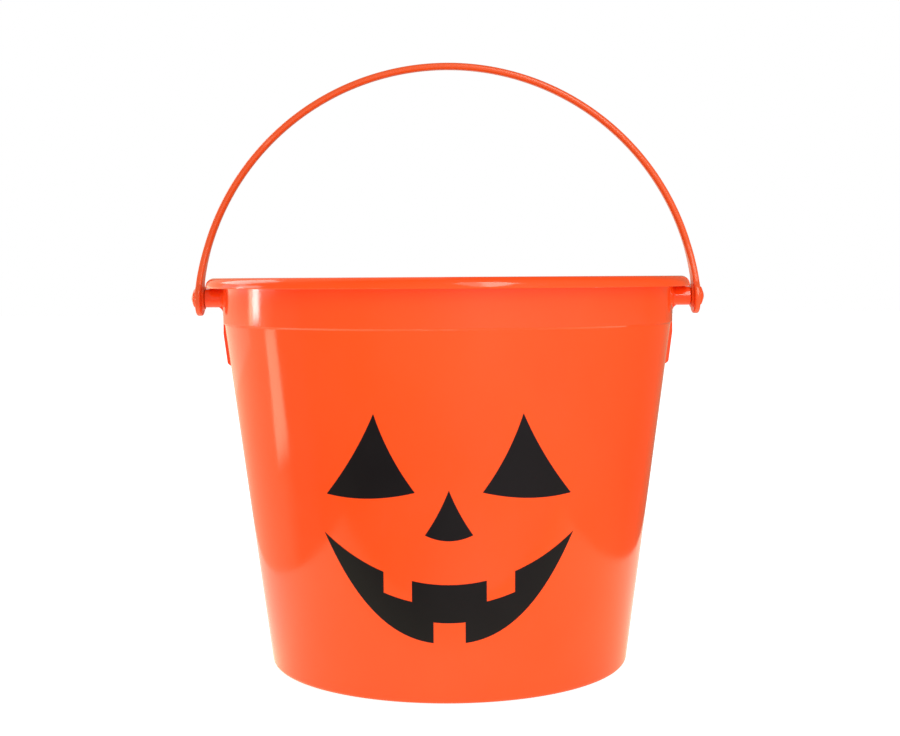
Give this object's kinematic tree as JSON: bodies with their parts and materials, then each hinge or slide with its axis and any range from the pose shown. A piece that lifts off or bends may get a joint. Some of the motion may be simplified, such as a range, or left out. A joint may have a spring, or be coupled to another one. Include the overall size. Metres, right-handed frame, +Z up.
{
  "type": "pumpkin candy pail",
  "caption": "Tapered round moulded pail with a turned down rim, a printed pumpkin face and an arched swing handle on side posts.",
  "frame": {"origin": "on the table under the pail's axis, in the plane of the foot ring", "axes": "+Z up along the pail's axis, the printed face looks toward -Y, the handle's pivot line is parallel to X"},
  "size_m": [0.231, 0.216, 0.267],
  "materials": {
    "pail_plastic": "smooth moulded orange polypropylene, glossy",
    "handle_plastic": "smooth moulded orange polypropylene, glossy",
    "face_ink": "printed black ink, satin"
  },
  "bodies": {
    "pail": {"pail_shell": "pail_plastic", "left_eye_print": "face_ink", "right_eye_print": "face_ink", "nose_print": "face_ink", "mouth_print": "face_ink"},
    "bail": {"bail_handle": "handle_plastic"}
  },
  "joints": [
    {"name": "bail_swing", "type": "hinge", "parent": "pail", "child": "bail", "pos_m": [0, 0, 0.1614], "axis": [1, 0, 0], "range_deg": [-77, 77]}
  ]
}
